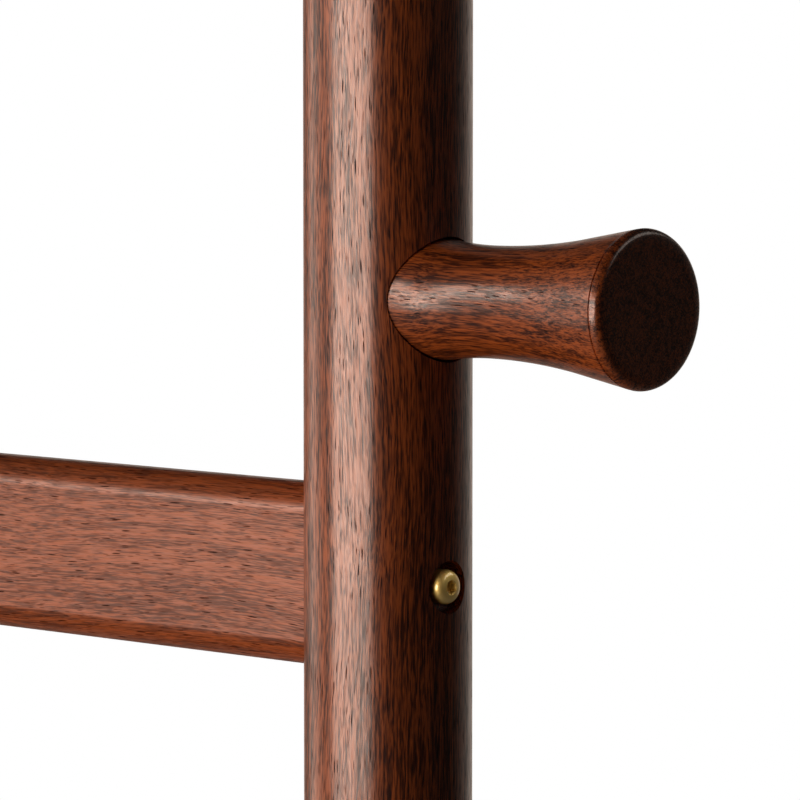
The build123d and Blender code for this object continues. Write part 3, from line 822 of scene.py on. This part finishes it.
front_half = Vector((bar_low.x, rail_thickness / 2, rail_width / 2))
front_rail = beveled_bar("front_rail_board", front_centre - front_half, front_centre + front_half, lies_along_x,
                         rail_edge, 12)
nut_hole(front_rail, bar_low.x, front_centre)
front_rail_wood = lacquered_wood("front rail wood", along_x, (4.1, 0.43, 0.3), board_satin)
finished(front_rail, "deck", front_rail_wood, "front_rail")
front_tip = bar_high.x - counterbore_depth - bar_low.x + nut_setback + nut_past
front_bolt = rail_bolt("front_bolt", front_tip)
front_seat = front_centre + Vector((bar_high.x - counterbore_depth, 0, 0))
pair(front_bolt, "front_rail_bolt", front_seat, "deck", brass, "front_rail_bolts")
nut_place = front_centre + Vector((bar_low.x - nut_setback, 0, 0))
pair(barrel_nut, "front_rail_nut", nut_place, "deck", zinc, "front_rail_barrel_nuts")

# ---------------------------------------------------------------- deck pivots
# Brass shoulder bolts through the posts, which screw into inserts in the side bars, with a turned brass ring
# between post and bar.

pivot_head_radius = 0.006
pivot_head_height = 0.0058
pivot_rounding = 0.0020
pivot_socket = 0.004
shoulder_radius = 0.004
thread_radius = 0.003
face_gap = 0.0001
spacer_radius = 0.009
spacer_bore = 0.00405
turned_brass = metal("turned brass", (0.74, 0.58, 0.25, 1), (0.48, 0.34, 0.12, 1), 0.36)


def shoulder_bolt(name, seat_x, shoulder_x, tip_x):
    shanks = [(tip_x - seat_x, thread_radius - 0.0004), (tip_x - seat_x + 0.0004, thread_radius),
              (shoulder_x - seat_x, thread_radius), (shoulder_x - seat_x, shoulder_radius)]
    return domed_bolt(name, shanks, pivot_head_radius, pivot_head_height, pivot_rounding, pivot_socket)


deck_seat_x = post_axis.x + post_radius - counterbore_depth + face_gap
deck_bolt = shoulder_bolt("deck_bolt", deck_seat_x, bar_high.x + face_gap, bar_high.x - 0.011)
deck_seat = deck_pivot + Vector((deck_seat_x, 0, 0))
pair(deck_bolt, "deck_pivot_bolt", deck_seat, "deck", brass, "deck_pivot_bolts")
spacer = turned("spacer", (0, 0, 0), "X", rounded_rod(0.0, spotface_depth + 0.0019, spacer_radius, 0.0004, 3), 96)
cut(spacer, turned("bore", (0, 0, 0), "X", [(-past, spacer_bore), (0.01, spacer_bore)], 64))
ring_place = deck_pivot + Vector((bar_high.x + face_gap, 0, 0))
pair(spacer, "deck_pivot_spacer", ring_place, "back_frame", turned_brass, "deck_pivot_spacers")

# ---------------------------------------------------------------- legs
# Turned poles like the posts, splayed a little forward. Their tops are rounded about the pivot to clear the
# slats as they fold, and their feet are sawn level.

leg_splay = math.radians(5)
leg_radius = 0.020
leg_rail_drop = 0.320
leg_x = middle("right_leg").x
foot_height = post_low.z
leg_length = (pivot_height - foot_height) / math.cos(leg_splay) + leg_radius
along_leg = (leg_splay, 0, 0)
origin = Vector((0, 0, 0))


def on_leg(place):
    """Place in the rack for a place measured from the leg pivot along the leaning legs."""
    return leg_pivot + Matrix.Rotation(-leg_splay, 3, "X") @ place


leg_rings = [(-leg_length, leg_radius)]
for place in (-leg_rail_drop - 0.022, -leg_rail_drop + 0.022, -0.022, leg_radius + past):
    leg_rings.append((place, leg_radius))
leg = turned("leg_pole", origin, "Z", leg_rings, 200)
top_form = stadium("top_form", Vector((-0.03, 0, 0)), 0.06, leg_radius, Vector((0, 0, -leg_length - 0.02)), 160)
cut(leg, top_form, "INTERSECT")
cut(leg, recess(counterbore_radius, counterbore_depth, leg_radius, Vector((0, 0, -leg_rail_drop))))
leg_spot = [(leg_radius - spotface_depth, spotface_radius), (leg_radius + past, spotface_radius)]
cut(leg, turned("spotface", origin, "X", leg_spot, 96))
right_leg = copied(leg, "right_leg_pole", move=on_leg(Vector((leg_x, 0, 0))), lean=-leg_splay)
bpy.data.objects.remove(leg)
only(right_leg)
bpy.ops.object.mode_set(mode="EDIT")
bpy.ops.mesh.select_all(action="SELECT")
bpy.ops.mesh.bisect(plane_co=(0, 0, foot_height), plane_no=(0, 0, 1), clear_inner=True, use_fill=True)
bpy.ops.object.mode_set(mode="OBJECT")


def lies_on_foot(first, second):
    return max(first.z, second.z) < foot_height + 0.00001


rounded_edges(right_leg, lies_on_foot, 0.0010, 3)
left_leg = copied(right_leg, "left_leg_pole", mirrored=True)
right_leg_wood = lacquered_wood("right leg wood", along_leg, (0.52, 0.93, 0.1))
left_leg_wood = lacquered_wood("left leg wood", along_leg, (1.47, 0.35, 0.6))
finished(right_leg, "leg_frame", right_leg_wood, "right_leg")
finished(left_leg, "leg_frame", left_leg_wood, "left_leg")

# ---------------------------------------------------------------- leg rail
# The same coped rail between the legs, which leans with them, with its own bolts and barrel nuts.


def leaning_pair(model, name, place, material, node):
    """Copy a piece from the origin to its place in the leaning leg frame, on both sides."""
    for side, word in ((1, "right"), (-1, "left")):
        move = on_leg(Vector((side * place.x, place.y, place.z)))
        finished(copied(model, name + "_" + word, side < 0, move, -leg_splay), "leg_frame", material, node)


upright_rail = coped_rail("upright_rail", Vector((0, 0, -leg_rail_drop)), leg_x, leg_radius)
leg_rail = copied(upright_rail, "leg_rail_board", move=leg_pivot, lean=-leg_splay)
bpy.data.objects.remove(upright_rail)
leg_rail_wood = lacquered_wood("leg rail wood", along_x, (5.1, 0.43, 0.3), board_satin)
finished(leg_rail, "leg_frame", leg_rail_wood, "leg_rail")
leg_seat = Vector((leg_x + leg_radius - counterbore_depth, 0, -leg_rail_drop))
leaning_pair(pole_bolt, "leg_rail_bolt", leg_seat, brass, "leg_rail_bolts")
nut_place = Vector((leg_x - leg_radius - nut_setback, 0, -leg_rail_drop))
leaning_pair(barrel_nut, "leg_rail_nut", nut_place, zinc, "leg_rail_barrel_nuts")

# ---------------------------------------------------------------- leg pivots
# Shoulder bolts through the side bars, which screw into inserts in the legs, with the same brass rings between.

leg_seat_x = bar_high.x - counterbore_depth + face_gap
leg_ring_x = leg_x + leg_radius - spotface_depth
leg_bolt = shoulder_bolt("leg_bolt", leg_seat_x, leg_ring_x + face_gap, leg_x + 0.0045)
leaning_pair(leg_bolt, "leg_pivot_bolt", Vector((leg_seat_x, 0, 0)), brass, "leg_pivot_bolts")
leaning_pair(spacer, "leg_pivot_spacer", Vector((leg_ring_x, 0, 0)), turned_brass,
             "leg_pivot_spacers")
for model in (pole_bolt, front_bolt, deck_bolt, leg_bolt, barrel_nut, stop_pin, spacer):
    bpy.data.objects.remove(model)

# ---------------------------------------------------------------- glides
# Round nylon pads under all four feet, each held by a steel nail through its middle into the end grain.


def nylon():
    """Matt nylon, finely textured by its mould, with a little scuffing."""
    material = bpy.data.materials.new("dark nylon")
    material.use_nodes = True
    tree = material.node_tree
    shader = tree.nodes["Principled BSDF"]
    place = add(tree, "TexCoord")
    mottle = add(tree, "TexNoise", Scale=900.0, Detail=3.0)
    scuffs = add(tree, "TexNoise", Scale=160.0, Detail=4.0)
    colour = add(tree, "Mix", data_type="RGBA")
    colour.inputs[6].default_value = (0.055, 0.038, 0.030, 1)
    colour.inputs[7].default_value = (0.105, 0.080, 0.066, 1)
    rough = add(tree, "MapRange", From_Min=0.3, From_Max=0.7, To_Min=0.45, To_Max=0.65)
    bump = add(tree, "Bump", Strength=0.3, Distance=0.00005)
    connect(tree, [
        (place.outputs["Object"], mottle.inputs["Vector"]), (place.outputs["Object"], scuffs.inputs["Vector"]),
        (scuffs.outputs["Fac"], colour.inputs["Factor"]), (colour.outputs[2], shader.inputs["Base Color"]),
        (mottle.outputs["Fac"], rough.inputs["Value"]), (rough.outputs[0], shader.inputs["Roughness"]),
        (mottle.outputs["Fac"], bump.inputs["Height"]), (bump.outputs[0], shader.inputs["Normal"])])
    return material


dark_nylon = nylon()
glide_radius = 0.014
glide = turned("glide", origin, "Z", rounded_rod(0.0, foot_height, glide_radius, 0.0009, 4), 96)
cut(glide, turned("nail_recess", origin, "Z", [(-past, 0.0046), (0.0008, 0.0046), (0.0024, 0.0020)], 48))
nail_rings = [(0.0006, 0.0030), (0.0009, 0.0042), (0.0013, 0.0042), (0.0024, 0.0018), (0.0145, 0.0018),
              (0.016, 0.0004)]
nail = turned("nail", origin, "Z", nail_rings, 48)
foot_places = [("post", "back_frame", Vector((post_axis.x, post_axis.y, 0))),
               ("leg", "leg_frame", Vector((leg_x, middle("leg_glides").y, 0)))]
for name, body, place in foot_places:
    pair(glide, name + "_glide", place, body, dark_nylon, name + "_glides")
    pair(nail, name + "_glide_nail", place, body, zinc, name + "_glides")
bpy.data.objects.remove(glide)
bpy.data.objects.remove(nail)

# ---------------------------------------------------------------- hidden fastenings
# Beech dowels beside the bolts and under the slats, threaded brass inserts, and the pegs' steel hanger bolts. They
# lie inside the wood.

beech = lacquered_wood("beech", along_z, (0.2, 0.2, 0.2), 0.5, (0.56, 0.37, 0.20, 1), (0.40, 0.24, 0.12, 1))


def finish_node(node, material):
    """Give a CAD node its material."""
    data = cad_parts[node].data
    data.materials.clear()
    data.materials.append(material)


for node in ("rail_dowels", "slat_dowels", "front_rail_dowels", "leg_rail_dowels"):
    finish_node(node, beech)
for node in ("deck_pivot_inserts", "leg_pivot_inserts"):
    finish_node(node, turned_brass)
finish_node("peg_hanger_bolts", zinc)
